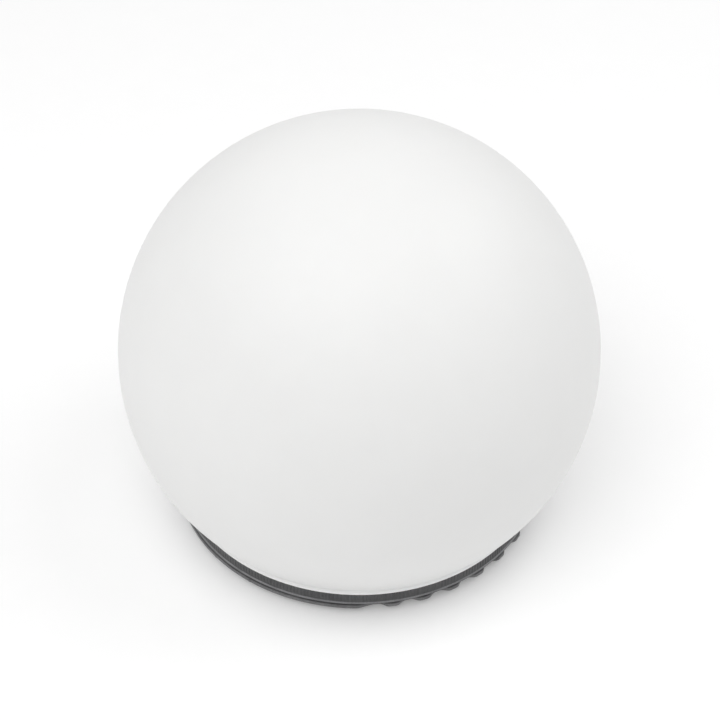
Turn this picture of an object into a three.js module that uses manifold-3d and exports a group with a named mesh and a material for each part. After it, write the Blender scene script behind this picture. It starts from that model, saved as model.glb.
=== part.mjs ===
// A floating pool light: a white globe that snaps onto a dark base collar. The collar holds a deck with
// three battery bays, the light board and a ballast ring, and a screw cap with two grip zones closes it
// from below. The button in the middle of the cap works the switch under the deck.
// Millimetres, +Z up. The origin is at the middle of the foot that the light stands on.

import * as THREE from "three";
import { mergeVertices } from "three/addons/utils/BufferGeometryUtils.js";
import Module from "manifold-3d";

const wasm = await Module();
wasm.setup();

// ---- driving dimensions ----
const GAP = 0.3; // between faces that touch
const ROUND = 48; // facets of a large ring
const THIRDS = [0, 1, 2].map((k) => (k * 2 * Math.PI) / 3); // azimuths of the battery bays
const CORNERS = THIRDS.map((a) => a + Math.PI / 3); // azimuths between the bays

const GLOBE_R = 75;
const GLOBE_WALL = 2;
const GLOBE_CENTRE_Z = 56;
const NECK_R = 59.4; // outside of the globe's short straight neck
const NECK_BORE_R = 57.2;
const NECK_Z = 8.4; // the neck's lower edge
const NECK_LAND = 4; // height of the neck's straight bore
const GASKET_THICKNESS = 1.4;
const GASKET_Z = 10.4;

const BAND_R = NECK_R; // the collar's visible band, flush with the neck
const BAND_Z = 4.1;
const BAND_EDGE = 0.3; // chamfer on the band's lower edge
const SPIGOT_R = 56.9; // the part of the collar that the globe's neck slips over
const GROOVE_R = 55.2; // bottom of the gasket's groove in the spigot
const SNAP_BEAD_R = 58.2; // the bead that the neck snaps over
const SNAP_BEAD_Z = 14;
const COLLAR_TOP_Z = 17;
const COLLAR_BORE_R = 52.8;
const LEDGE_TOP_Z = 14.9; // the ledge that the deck lies on
const LEDGE_BOTTOM_Z = 13.2;
const LEDGE_R = 44.5;
const COUNTERBORE_R = 53.8; // room for the cap's seal
const COUNTERBORE_TOP_Z = 6.8;
const CLAMP_BOSS_R = 3.3;

const FLANGE_R = 59.7; // the cap's grip flange
const FLANGE_ROOT_R = 58.2; // between two grip teeth
const FLANGE_Z = 2.3;
const FLANGE_TOP_Z = 3.6;
const TEETH_PER_ZONE = 8; // grip teeth round each end of the X axis
const TOOTH_PITCH = 9.8; // in degrees, as the other angles of the flange
const TOOTH_HALF_TIP = 1.5;
const TOOTH_HALF_ROOT = 3.6;
const SMOOTH_FROM = 45; // from the X axis to where the flange's plain arcs begin
const SMOOTH_FLANK = 4.8;
const CONE_R = 55.4; // outer end of the coned underside
const FOOT_OUTER_R = 45;
const FOOT_INNER_R = 39.5;
const CAP_FLOOR_Z = 3;
const CAP_UNDERSIDE_Z = 1;
const CAP_SKIRT_R = 50.5;
const CAP_SKIRT_BORE_R = 48.5;
const CAP_SKIRT_TOP_Z = 12.8;
const SEAL_RADIUS = 52.1; // of the rubber ring between the cap and the collar
const SEAL_THICKNESS = 2.6;
const SEAL_Z = 5.1;

const BUTTON_HOLE_R = 6.6;
const BUTTON_R = 6.1;
const BUTTON_PAD_TOP_Z = 3.9;
const STEM_R = 2.4;
const STEM_TOP_Z = 9.5;
const RETAINER_WALL_R = 9.6; // inside of the wall that holds the button's rim and its retainer
const RETAINER_TOP_Z = 6.5;
const BOOT_RIM_TOP_Z = 5;
const SWITCH_BOARD_Z = 13.7;
const SWITCH_BOTTOM_Z = 10.8;
const SWITCH_SCREW_Y = 5.6;
const SWITCH_HOLE_R = 1.05;

const THREAD_LEAD = 12; // three starts, 4 mm apart
const THREAD_ARC = Math.PI / 2;
const THREAD_WIDTH = 1.6;
const COLLAR_THREAD_TIP_R = 50.9;
const CAP_THREAD_TIP_R = 52.3;
const COLLAR_THREAD_Z = 9;
const CAP_THREAD_Z = 8.4;

const DECK_R = 52.4;
const DECK_Z = 15.2;
const DECK_TOP_Z = 17;
const BAY_BOTTOM_Z = 4.6;
const BAY_RADIUS = 22; // from the axis to a cell's axis
const BAY_HALF_WIDTH = 5.65;
const BAY_HALF_LENGTH = 26;
const BAY_WALL = 1.4;
const CELL_R = 5.25;
const CELL_LENGTH = 44.5;
const CELL_Z = 9.6;
const CONTACT_Y = BAY_HALF_LENGTH - GAP; // outer face of a contact plate
const CONTACT_THICKNESS = 0.4;
const TAB_TOP_Z = 19; // top of the tab that a contact pushes up through the deck

const CLAMP_RADIUS = 42; // screws through ballast, deck and collar
const CLAMP_HOLE_R = 1.9;
const COVER_SCREW_RADIUS = 33.5;
const COVER_HOLE_R = 1.4;
const BOARD_SCREW_RADIUS = 20;
const BOARD_HOLE_R = 1.1;
const BOARD_Z = 21.5;
const BOARD_TOP_Z = 23.1;
const STANDOFF_TOP_Z = BOARD_Z - GAP;
const COVER_R = 29;
const COVER_WALL = 1.4;
const COVER_WALL_TOP_Z = 26;
const COVER_TOP_Z = 40;
const COVER_FLANGE_R = 31.4;
const COVER_FLANGE_TOP_Z = 18.5;
const BALLAST_Z = DECK_TOP_Z + GAP;
const BALLAST_TOP_Z = 21.3;

const PRESS = 1.2; // travel of the button and of the switch plunger
const LEAD_R = 0.6;
const LEAD_PORT_X = -12; // where the switch leads pass through the deck

// ---- materials ----
const material = (color, roughness, metalness = 0) =>
  new THREE.MeshStandardMaterial({ color, roughness, metalness });
const MILK_WHITE = material("#f2f2f1", 0.45);
const DARK_GREY = material("#4a4b4d", 0.6);
const BLACK_RUBBER = material("#1c1c1d", 0.85);
const BLACK_PLASTIC = material("#26272a", 0.5);
const CLEAR = material("#e4eef2", 0.1);
const BOARD_WHITE = material("#e9ece6", 0.5);
const LED_YELLOW = material("#f1dd8a", 0.3);
const STEEL = material("#b9bcc0", 0.35, 1);
const NICKEL = material("#cfcdc4", 0.3, 1);
const CELL_JACKET = material("#3d4a55", 0.4);
const RED_LEAD = material("#b3231e", 0.5);
const BLACK_LEAD = material("#161616", 0.5);

// ---- solids ----
function toSolid(geometry) {
  const bare = geometry.clone();
  bare.deleteAttribute("normal");
  bare.deleteAttribute("uv");
  const merged = mergeVertices(bare, 1e-4);
  return new wasm.Manifold(
    new wasm.Mesh({
      numProp: 3,
      vertProperties: merged.attributes.position.array,
      triVerts: new Uint32Array(merged.index.array),
    }),
  );
}

function toGeometry(solid) {
  const mesh = solid.getMesh();
  const geometry = new THREE.BufferGeometry();
  geometry.setAttribute("position", new THREE.BufferAttribute(mesh.vertProperties, 3));
  geometry.setIndex(new THREE.BufferAttribute(mesh.triVerts, 1));
  geometry.computeVertexNormals();
  return geometry;
}

const join = (...geometries) => toGeometry(wasm.Manifold.union(geometries.map(toSolid)));

const cut = (geometry, ...tools) =>
  toGeometry(toSolid(geometry).subtract(wasm.Manifold.union(tools.map(toSolid))));

// A closed [radius, z] outline turned about the Z axis. An outline may start and end on the axis.
function turned(outline, facets = ROUND) {
  const points = outline.map(([r, z]) => new THREE.Vector2(r, z));
  if (THREE.ShapeUtils.area(points) < 0) points.reverse();
  const onAxis = points.filter((p) => p.x === 0).length;
  if (onAxis) {
    while (!(points[0].x === 0 && points.at(-1).x === 0)) points.push(points.shift());
  } else {
    points.push(points[0].clone());
  }
  return new THREE.LatheGeometry(points, facets).rotateX(Math.PI / 2);
}

const disc = (r, z0, z1, facets = 24) =>
  turned([[0, z0], [r, z0], [r, z1], [0, z1]], facets);

// A round post, or the tool for a hole, that stands at a distance from the Z axis.
const post = (x, r, z0, z1, facets = 12) => disc(r, z0, z1, facets).translate(x, 0, 0);

const ring = (inner, outer, z0, z1, facets = ROUND) =>
  turned([[inner, z0], [outer, z0], [outer, z1], [inner, z1]], facets);

// A box from its lowest to its highest corner.
const block = (x0, y0, z0, x1, y1, z1) =>
  new THREE.BoxGeometry(x1 - x0, y1 - y0, z1 - z0).translate(
    (x0 + x1) / 2, (y0 + y1) / 2, (z0 + z1) / 2,
  );

// Copies of a solid turned to several azimuths.
const around = (geometry, azimuths) => azimuths.map((a) => geometry.clone().rotateZ(a));

// Points of an arc in the [radius, z] plane, from one angle above the horizontal to another.
function arcPoints(radius, centreZ, from, to, steps, flatten = 1) {
  return Array.from({ length: steps + 1 }, (_, i) => {
    const a = from + ((to - from) * i) / steps;
    return [radius * Math.cos(a), centreZ + flatten * radius * Math.sin(a)];
  });
}

// A round ring of rubber, eight-sided in section.
function sealRing(radius, thickness, z) {
  return turned(
    Array.from({ length: 8 }, (_, i) => {
      const a = ((i + 0.5) * Math.PI) / 4;
      return [radius + (thickness / 2) * Math.cos(a), z + (thickness / 2) * Math.sin(a)];
    }),
  );
}

// A ridge of the screw thread: a straight bar bent round the axis while it climbs by the lead.
function threadRidge(rootR, tipR, startAngle, startZ) {
  const tip = THREAD_WIDTH * 0.3;
  const root = THREAD_WIDTH / 2;
  const section = new THREE.Shape([
    new THREE.Vector2(rootR, -root),
    new THREE.Vector2(tipR, -tip),
    new THREE.Vector2(tipR, tip),
    new THREE.Vector2(rootR, root),
  ]);
  const bar = new THREE.ExtrudeGeometry(section, {
    depth: THREAD_ARC,
    steps: 12,
    bevelEnabled: false,
  });
  const at = bar.attributes.position;
  for (let i = 0; i < at.count; i++) {
    const swept = THREAD_ARC - at.getZ(i);
    const angle = startAngle + swept;
    const r = at.getX(i);
    const climb = (THREAD_LEAD * swept) / (2 * Math.PI);
    at.setXYZ(i, r * Math.cos(angle), r * Math.sin(angle), startZ + climb + at.getY(i));
  }
  return bar;
}

class Helix extends THREE.Curve {
  constructor(startR, endR, height, turns) {
    super();
    Object.assign(this, { startR, endR, height, turns });
  }
  getPoint(t, target = new THREE.Vector3()) {
    const r = this.startR + (this.endR - this.startR) * t;
    const a = t * this.turns * 2 * Math.PI;
    return target.set(r * Math.cos(a), r * Math.sin(a), t * this.height);
  }
}

function circleShape(r, sides) {
  return new THREE.Shape(
    Array.from({ length: sides }, (_, i) => {
      const a = (i * 2 * Math.PI) / sides;
      return new THREE.Vector2(r * Math.cos(a), r * Math.sin(a));
    }),
  );
}

const rod = (curve, r, steps, sides = 6) =>
  new THREE.ExtrudeGeometry(circleShape(r, sides), { extrudePath: curve, steps, bevelEnabled: false });

function part(name, geometry, look) {
  const mesh = new THREE.Mesh(geometry, look);
  mesh.name = name;
  return mesh;
}

// ---- globe ----
function globe() {
  const outerFrom = -Math.acos(NECK_R / GLOBE_R);
  const innerR = GLOBE_R - GLOBE_WALL;
  const landTopZ = NECK_Z + NECK_LAND;
  const innerFrom = Math.asin((landTopZ - GLOBE_CENTRE_Z) / innerR);
  const outline = [
    [NECK_BORE_R, NECK_Z],
    [NECK_R, NECK_Z],
    ...arcPoints(GLOBE_R, GLOBE_CENTRE_Z, outerFrom, Math.PI / 2, 14).slice(0, -1),
    [0, GLOBE_CENTRE_Z + GLOBE_R],
    [0, GLOBE_CENTRE_Z + innerR],
    ...arcPoints(innerR, GLOBE_CENTRE_Z, Math.PI / 2, innerFrom, 10).slice(1),
    [NECK_BORE_R, landTopZ],
  ];
  return part("globe", turned(outline), MILK_WHITE);
}

function globeGasket() {
  const radius = (GROOVE_R + NECK_BORE_R) / 2;
  return part("globe_gasket", sealRing(radius, GASKET_THICKNESS, GASKET_Z), BLACK_RUBBER);
}

// ---- collar ----
function collar() {
  const grooveHalf = GASKET_THICKNESS / 2 + GAP;
  const bodyRing = turned([
    [COUNTERBORE_R, BAND_Z],
    [BAND_R - BAND_EDGE, BAND_Z],
    [BAND_R, BAND_Z + BAND_EDGE],
    [BAND_R, NECK_Z - GAP],
    [SPIGOT_R, NECK_Z - GAP],
    [SPIGOT_R, GASKET_Z - grooveHalf],
    [GROOVE_R, GASKET_Z - grooveHalf],
    [GROOVE_R, GASKET_Z + grooveHalf],
    [SPIGOT_R, GASKET_Z + grooveHalf],
    [SPIGOT_R, SNAP_BEAD_Z - 1.1],
    [SNAP_BEAD_R, SNAP_BEAD_Z - 0.3],
    [SNAP_BEAD_R, SNAP_BEAD_Z + 0.3],
    [SPIGOT_R - 0.5, COLLAR_TOP_Z],
    [COLLAR_BORE_R, COLLAR_TOP_Z],
    [COLLAR_BORE_R, LEDGE_TOP_Z],
    [LEDGE_R, LEDGE_TOP_Z],
    [LEDGE_R, LEDGE_BOTTOM_Z],
    [COLLAR_BORE_R, LEDGE_BOTTOM_Z],
    [COLLAR_BORE_R, COUNTERBORE_TOP_Z],
    [COUNTERBORE_R, COUNTERBORE_TOP_Z],
  ]);
  const ridges = THIRDS.map((a) =>
    threadRidge(COLLAR_BORE_R + 0.2, COLLAR_THREAD_TIP_R, a, COLLAR_THREAD_Z),
  );
  const boss = post(CLAMP_RADIUS, CLAMP_BOSS_R, 6, LEDGE_TOP_Z, 16);
  const bossHole = post(CLAMP_RADIUS, CLAMP_HOLE_R, 7.5, LEDGE_TOP_Z + 1);
  const solid = join(bodyRing, ...ridges, ...around(boss, THIRDS));
  return part("collar", cut(solid, ...around(bossHole, THIRDS)), DARK_GREY);
}

// ---- screw cap ----
// The flange has grip teeth on both ends of the X axis and plain arcs between them.
function gripFlange() {
  const polar = (r, degrees) => {
    const a = THREE.MathUtils.degToRad(degrees);
    return new THREE.Vector2(r * Math.cos(a), r * Math.sin(a));
  };
  const points = [];
  for (const middle of [0, 180]) {
    points.push(polar(FLANGE_ROOT_R, middle - SMOOTH_FROM + SMOOTH_FLANK));
    for (let k = 0; k < TEETH_PER_ZONE; k++) {
      const at = middle + (k - (TEETH_PER_ZONE - 1) / 2) * TOOTH_PITCH;
      points.push(polar(FLANGE_ROOT_R, at - TOOTH_HALF_ROOT), polar(FLANGE_R, at - TOOTH_HALF_TIP));
      points.push(polar(FLANGE_R, at + TOOTH_HALF_TIP), polar(FLANGE_ROOT_R, at + TOOTH_HALF_ROOT));
    }
    points.push(polar(FLANGE_ROOT_R, middle + SMOOTH_FROM - SMOOTH_FLANK));
    const steps = 12;
    for (let i = 0; i <= steps; i++) {
      points.push(polar(FLANGE_R, middle + SMOOTH_FROM + ((180 - 2 * SMOOTH_FROM) * i) / steps));
    }
  }
  const shape = new THREE.Shape(points);
  shape.holes.push(circleShape(CAP_SKIRT_R, ROUND));
  return new THREE.ExtrudeGeometry(shape, {
    depth: FLANGE_TOP_Z - FLANGE_Z,
    bevelEnabled: false,
  }).translate(0, 0, FLANGE_Z);
}

function screwCap() {
  const dish = turned([
    [0, CAP_UNDERSIDE_Z],
    [FOOT_INNER_R - 1.5, CAP_UNDERSIDE_Z],
    [FOOT_INNER_R, 0],
    [FOOT_OUTER_R, 0],
    [FOOT_OUTER_R + 1.5, 0.7],
    [CONE_R, FLANGE_Z + 0.2],
    [CONE_R, FLANGE_TOP_Z],
    [CAP_SKIRT_R, FLANGE_TOP_Z],
    [CAP_SKIRT_R, CAP_SKIRT_TOP_Z - 0.5],
    [CAP_SKIRT_R - 0.5, CAP_SKIRT_TOP_Z],
    [CAP_SKIRT_BORE_R, CAP_SKIRT_TOP_Z],
    [CAP_SKIRT_BORE_R, CAP_FLOOR_Z],
    [0, CAP_FLOOR_Z],
  ]);
  const retainerWall = ring(RETAINER_WALL_R, 11.2, CAP_FLOOR_Z - 0.5, RETAINER_TOP_Z, 24);
  const rib = block(11, -0.7, CAP_FLOOR_Z - 0.5, CAP_SKIRT_BORE_R + 0.5, 0.7, CAP_FLOOR_Z + 1);
  const ribs = Array.from({ length: 6 }, (_, i) => rib.clone().rotateZ((i * Math.PI) / 3));
  // Half a pitch from the collar's ridges, measured along the axis.
  const behind = COLLAR_THREAD_Z + (THREAD_LEAD / 6) - CAP_THREAD_Z;
  const startAngle = (-behind * 2 * Math.PI) / THREAD_LEAD;
  const ridges = THIRDS.map((a) =>
    threadRidge(CAP_SKIRT_R - 0.3, CAP_THREAD_TIP_R, a + startAngle, CAP_THREAD_Z),
  );
  const solid = join(dish, gripFlange(), retainerWall, ...ribs, ...ridges);
  const buttonHole = disc(BUTTON_HOLE_R, -1, CAP_FLOOR_Z + 1, 24);
  return part("screw_cap", cut(solid, buttonHole), DARK_GREY);
}

const capSeal = () =>
  part("cap_seal", sealRing(SEAL_RADIUS, SEAL_THICKNESS, SEAL_Z), BLACK_RUBBER);

// ---- button ----
function button() {
  const outline = [
    [0, 0.5],
    [4.6, 0.5],
    [BUTTON_R - 0.4, 0.8],
    [BUTTON_R, 1.5],
    [BUTTON_R, BUTTON_PAD_TOP_Z],
    [STEM_R, BUTTON_PAD_TOP_Z],
    [STEM_R, STEM_TOP_Z],
    [0, STEM_TOP_Z],
  ];
  return part("button", turned(outline, 24), BLACK_RUBBER);
}

function buttonMount() {
  const inside = RETAINER_WALL_R - GAP;
  const rim = ring(7.4, inside, CAP_FLOOR_Z + GAP, BOOT_RIM_TOP_Z, 24);
  const retainer = ring(5.6, inside, BOOT_RIM_TOP_Z + GAP, RETAINER_TOP_Z, 24);
  return [
    part("boot_rim", rim, BLACK_RUBBER),
    part("button_retainer", retainer, BLACK_PLASTIC),
  ];
}

// ---- switch ----
function switchUnit() {
  const boardTopZ = DECK_Z - GAP;
  const screwPlaces = [SWITCH_SCREW_Y, -SWITCH_SCREW_Y];
  const boardHoles = screwPlaces.map((y) => disc(SWITCH_HOLE_R, 13, 16, 10).translate(0, y, 0));
  const body = block(-3.1, -3.1, SWITCH_BOTTOM_Z, 3.1, 3.1, SWITCH_BOARD_Z - GAP);
  const well = disc(1.95, SWITCH_BOTTOM_Z - 1, SWITCH_BOARD_Z - 0.7, 16);
  return [
    part("switch_board", cut(disc(8, SWITCH_BOARD_Z, boardTopZ), ...boardHoles), BOARD_WHITE),
    part("switch_body", cut(body, well), BLACK_PLASTIC),
    ...screwPlaces.map((y, i) => {
      const screw = screwSolid(1.4, 0.65, 12.2, SWITCH_BOARD_Z - GAP, 16.6).translate(0, y, 0);
      return part(`switch_screw_${i + 1}`, screw, STEEL);
    }),
  ];
}

function switchPlunger() {
  const tipZ = STEM_TOP_Z + GAP;
  const topZ = SWITCH_BOARD_Z - 0.7 - PRESS - GAP;
  return part("switch_plunger", disc(1.6, tipZ, topZ, 16), MILK_WHITE);
}

// A screw that lies along Z: the head from headZ to seatZ, and the shank on to tipZ.
function screwSolid(headR, shankR, headZ, seatZ, tipZ) {
  return turned(
    [
      [0, headZ],
      [headR * 0.8, headZ],
      [headR, headZ + (seatZ - headZ) * 0.4],
      [headR, seatZ],
      [shankR, seatZ],
      [shankR, tipZ],
      [0, tipZ],
    ],
    12,
  );
}

// ---- deck with three battery bays ----
function deck() {
  const plate = disc(DECK_R, DECK_Z, DECK_TOP_Z, ROUND);
  const outX = BAY_HALF_WIDTH + BAY_WALL;
  const outY = BAY_HALF_LENGTH + BAY_WALL;
  const bay = block(BAY_RADIUS - outX, -outY, BAY_BOTTOM_Z, BAY_RADIUS + outX, outY, DECK_Z + 0.5);
  const hollow = block(
    BAY_RADIUS - BAY_HALF_WIDTH, -BAY_HALF_LENGTH, BAY_BOTTOM_Z - 1,
    BAY_RADIUS + BAY_HALF_WIDTH, BAY_HALF_LENGTH, DECK_Z,
  );
  const slotY = CONTACT_Y - CONTACT_THICKNESS / 2;
  const slot = block(BAY_RADIUS - 2, -0.6, DECK_Z - 1, BAY_RADIUS + 2, 0.6, DECK_TOP_Z + 1);
  const coverBoss = post(COVER_SCREW_RADIUS, 2.6, 10, DECK_Z + 0.5);
  const coverHole = post(COVER_SCREW_RADIUS, COVER_HOLE_R, 9, DECK_TOP_Z + 1, 10);
  const clampHole = post(CLAMP_RADIUS, CLAMP_HOLE_R, DECK_Z - 1, DECK_TOP_Z + 1);
  const standoff = post(BOARD_SCREW_RADIUS, 2.4, DECK_TOP_Z - 0.5, STANDOFF_TOP_Z);
  const standoffHole = post(BOARD_SCREW_RADIUS, BOARD_HOLE_R, 17.9, STANDOFF_TOP_Z + 1, 10);
  const leadPort = post(LEAD_PORT_X, 2.6, DECK_Z - 1, DECK_TOP_Z + 1, 16);
  const switchHoles = [1, -1].map((side) =>
    disc(SWITCH_HOLE_R, DECK_Z - 1, DECK_TOP_Z + 1, 10).translate(0, side * SWITCH_SCREW_Y, 0),
  );
  const solid = join(
    plate,
    ...around(bay, THIRDS),
    ...around(coverBoss, THIRDS),
    ...around(standoff, CORNERS),
  );
  const tools = [
    ...around(hollow, THIRDS),
    ...around(slot.clone().translate(0, slotY, 0), THIRDS),
    ...around(slot.clone().translate(0, -slotY, 0), THIRDS),
    ...around(coverHole, THIRDS),
    ...around(clampHole, THIRDS),
    ...around(standoffHole, CORNERS),
    leadPort,
    ...switchHoles,
  ];
  return part("deck", cut(solid, ...tools), BLACK_PLASTIC);
}

// ---- one battery bay: cell, spring and two contact plates, in the frame of the bay at azimuth 0 ----
function contactPlate() {
  const half = 4.5;
  const topZ = DECK_Z - GAP;
  const outline = new THREE.Shape([
    new THREE.Vector2(-half, 5.2),
    new THREE.Vector2(half, 5.2),
    new THREE.Vector2(half, topZ),
    new THREE.Vector2(1.5, topZ),
    new THREE.Vector2(1.5, TAB_TOP_Z),
    new THREE.Vector2(-1.5, TAB_TOP_Z),
    new THREE.Vector2(-1.5, topZ),
    new THREE.Vector2(-half, topZ),
  ]);
  return new THREE.ExtrudeGeometry(outline, { depth: CONTACT_THICKNESS, bevelEnabled: false })
    .rotateX(Math.PI / 2)
    .translate(BAY_RADIUS, CONTACT_Y, 0);
}

function batteryBay(index, azimuth) {
  const bay = new THREE.Group();
  bay.rotation.z = azimuth;
  const nubTipY = CONTACT_Y - CONTACT_THICKNESS - GAP;
  const nubLength = 0.8;
  const nubR = 1.9;
  const bottomY = nubTipY - CELL_LENGTH;
  const cell = turned(
    [
      [0, 0],
      [CELL_R - 0.4, 0],
      [CELL_R, 0.4],
      [CELL_R, CELL_LENGTH - nubLength - 0.4],
      [CELL_R - 0.4, CELL_LENGTH - nubLength],
      [nubR, CELL_LENGTH - nubLength],
      [nubR, CELL_LENGTH],
      [0, CELL_LENGTH],
    ],
    20,
  )
    .rotateX(-Math.PI / 2)
    .translate(BAY_RADIUS, bottomY, CELL_Z);
  const springFromY = -(CONTACT_Y - CONTACT_THICKNESS - GAP);
  const wireR = 0.35;
  const springLength = bottomY - GAP - springFromY - 2 * wireR;
  const spring = rod(new Helix(3.9, 2.2, springLength, 3), wireR, 36)
    .rotateX(-Math.PI / 2)
    .translate(BAY_RADIUS, springFromY + wireR, CELL_Z);
  const plus = contactPlate();
  const minus = contactPlate().translate(0, CONTACT_THICKNESS - 2 * CONTACT_Y, 0);
  bay.add(
    part(`battery_cell_${index}`, cell, CELL_JACKET),
    part(`contact_spring_${index}`, spring, NICKEL),
    part(`plus_contact_${index}`, plus, NICKEL),
    part(`minus_contact_${index}`, minus, NICKEL),
  );
  return bay;
}

// ---- ballast ring, with an ear for each clamp screw ----
function ballastRing() {
  const hoop = ring(46, 52, BALLAST_Z, BALLAST_TOP_Z);
  const earR = 3.6;
  const ear = join(
    post(CLAMP_RADIUS, earR, BALLAST_Z, BALLAST_TOP_Z, 16),
    block(CLAMP_RADIUS, -earR, BALLAST_Z, 47.5, earR, BALLAST_TOP_Z),
  );
  const hole = post(CLAMP_RADIUS, CLAMP_HOLE_R, BALLAST_Z - 1, BALLAST_TOP_Z + 1);
  const solid = join(hoop, ...around(ear, THIRDS));
  return part("ballast_ring", cut(solid, ...around(hole, THIRDS)), STEEL);
}

// ---- light board ----
function lightBoard() {
  const hole = post(BOARD_SCREW_RADIUS, BOARD_HOLE_R, BOARD_Z - 1, BOARD_TOP_Z + 1, 10);
  const plate = cut(disc(24, BOARD_Z, BOARD_TOP_Z, 36), ...around(hole, CORNERS));
  const seatZ = BOARD_TOP_Z + GAP;
  const ledRadius = 12.5;
  const led = block(-2.5, -2.5, seatZ, 2.5, 2.5, seatZ + 1.6).translate(ledRadius, 0, 0);
  const leds = Array.from({ length: 6 }, (_, i) =>
    part(`led_${i + 1}`, led.clone().rotateZ((i * Math.PI) / 3), LED_YELLOW),
  );
  const resistor = block(-0.8, -1.6, seatZ, 0.8, 1.6, seatZ + 0.6).translate(19, 0, 0);
  return [
    part("light_board", plate, BOARD_WHITE),
    ...leds,
    part("controller_chip", block(-3, -2.5, seatZ, 3, 2.5, seatZ + 1.5), BLACK_PLASTIC),
    part("capacitor", post(19, 2.5, seatZ, seatZ + 5.4, 16), NICKEL),
    part("resistor_1", resistor.clone().rotateZ(THIRDS[1]), BLACK_PLASTIC),
    part("resistor_2", resistor.clone().rotateZ(THIRDS[2]), BLACK_PLASTIC),
  ];
}

// ---- clear cover over the light board ----
function lightCover() {
  const insideR = COVER_R - COVER_WALL;
  const rise = COVER_TOP_Z - COVER_WALL_TOP_Z;
  const shell = turned(
    [
      [insideR, DECK_TOP_Z + GAP],
      [COVER_FLANGE_R, DECK_TOP_Z + GAP],
      [COVER_FLANGE_R, COVER_FLANGE_TOP_Z],
      [COVER_R, COVER_FLANGE_TOP_Z],
      ...arcPoints(COVER_R, COVER_WALL_TOP_Z, 0, Math.PI / 2, 6, rise / COVER_R).slice(0, -1),
      [0, COVER_TOP_Z],
      [0, COVER_TOP_Z - COVER_WALL],
      ...arcPoints(insideR, COVER_WALL_TOP_Z, Math.PI / 2, 0, 6, (rise - COVER_WALL) / insideR).slice(1),
    ],
    36,
  );
  const earR = 3;
  const ear = join(
    post(COVER_SCREW_RADIUS, earR, DECK_TOP_Z + GAP, COVER_FLANGE_TOP_Z, 16),
    block(COVER_R - 0.5, -earR, DECK_TOP_Z + GAP, COVER_SCREW_RADIUS, earR, COVER_FLANGE_TOP_Z),
  );
  const hole = post(COVER_SCREW_RADIUS, COVER_HOLE_R, DECK_TOP_Z - 1, COVER_FLANGE_TOP_Z + 1, 10);
  const leadNotch = block(-34, -5.8, DECK_TOP_Z - 1, -26, 5.8, 21);
  const solid = join(shell, ...around(ear, THIRDS));
  return part("light_cover", cut(solid, ...around(hole, THIRDS), leadNotch), CLEAR);
}

// ---- screws, heads up ----
function screwSet(name, headR, shankR, seatZ, headHeight, tipZ, radius, azimuths) {
  return azimuths.map((a, i) => {
    const screw = screwSolid(headR, shankR, -seatZ - headHeight, -seatZ, -tipZ);
    const upright = screw.rotateX(Math.PI).translate(radius, 0, 0).rotateZ(a);
    return part(`${name}_${i + 1}`, upright, STEEL);
  });
}

// ---- leads ----
const lead = (points) =>
  rod(new THREE.CatmullRomCurve3(points.map((p) => new THREE.Vector3(...p))), LEAD_R, 14);

// Where a lead meets the tab of a bay's contact: side 1 is the plus end, and side -1 the minus end.
function besideTab(azimuth, side, y, z) {
  return new THREE.Vector3(BAY_RADIUS, side * y, z).applyAxisAngle(new THREE.Vector3(0, 0, 1), azimuth);
}

function leads() {
  const z = 18.3;
  const outsideTab = CONTACT_Y + LEAD_R + GAP;
  const insideTab = CONTACT_Y - CONTACT_THICKNESS - LEAD_R - GAP;
  const battery = (azimuth, side) => {
    const start = besideTab(azimuth, side, insideTab, z);
    const y = (v) => side * v;
    return lead([
      start.toArray(),
      [-31, y(4.8), z + 0.1],
      [-27.5, y(4.1), z + 0.2],
      [-23.5, y(4.3), z + 0.8],
      [-20.8, y(4.8), BOARD_Z - 1],
    ]);
  };
  const link = (side) => {
    const from = besideTab(0, side, outsideTab, z);
    const to = besideTab(side > 0 ? THIRDS[1] : THIRDS[2], -side, outsideTab, z);
    const bulge = from.clone().add(to).multiplyScalar(0.5 * 1.06);
    return lead([from.toArray(), [bulge.x, bulge.y, z + 0.3], to.toArray()]);
  };
  const toSwitch = (y) =>
    lead([
      [-6.2, y, SWITCH_BOARD_Z - 1],
      [-9.2, y, SWITCH_BOARD_Z - 1.6],
      [-11.6, y, SWITCH_BOARD_Z + 0.3],
      [LEAD_PORT_X, y, DECK_TOP_Z],
      [LEAD_PORT_X, y, BOARD_Z - 0.4],
    ]);
  return [
    part("red_lead", battery(THIRDS[1], 1), RED_LEAD),
    part("black_lead", battery(THIRDS[2], -1), BLACK_LEAD),
    part("link_lead_1", link(1), BLACK_LEAD),
    part("link_lead_2", link(-1), BLACK_LEAD),
    part("switch_lead_1", toSwitch(1.2), RED_LEAD),
    part("switch_lead_2", toSwitch(-1.2), BLACK_LEAD),
  ];
}

// ---- assembly ----
const light = new THREE.Group();
light.add(
  globe(),
  globeGasket(),
  collar(),
  deck(),
  ballastRing(),
  ...lightBoard(),
  lightCover(),
  ...switchUnit(),
  switchPlunger(),
  ...THIRDS.map((a, i) => batteryBay(i + 1, a)),
  ...leads(),
  ...screwSet("clamp_screw", 2.8, 1.5, BALLAST_TOP_Z + GAP, 1.8, 8.5, CLAMP_RADIUS, THIRDS),
  ...screwSet("cover_screw", 2.2, 1, COVER_FLANGE_TOP_Z + GAP, 1.4, 11, COVER_SCREW_RADIUS, THIRDS),
  ...screwSet("board_screw", 1.9, 0.7, BOARD_TOP_Z + GAP, 1.2, 18.5, BOARD_SCREW_RADIUS, CORNERS),
  capSeal(),
  screwCap(),
  ...buttonMount(),
  button(),
);

export default light;
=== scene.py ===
import math

import bmesh
import bpy
from bpy.props import FloatProperty, FloatVectorProperty, IntProperty, PointerProperty
from mathutils import Matrix, Vector


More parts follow.
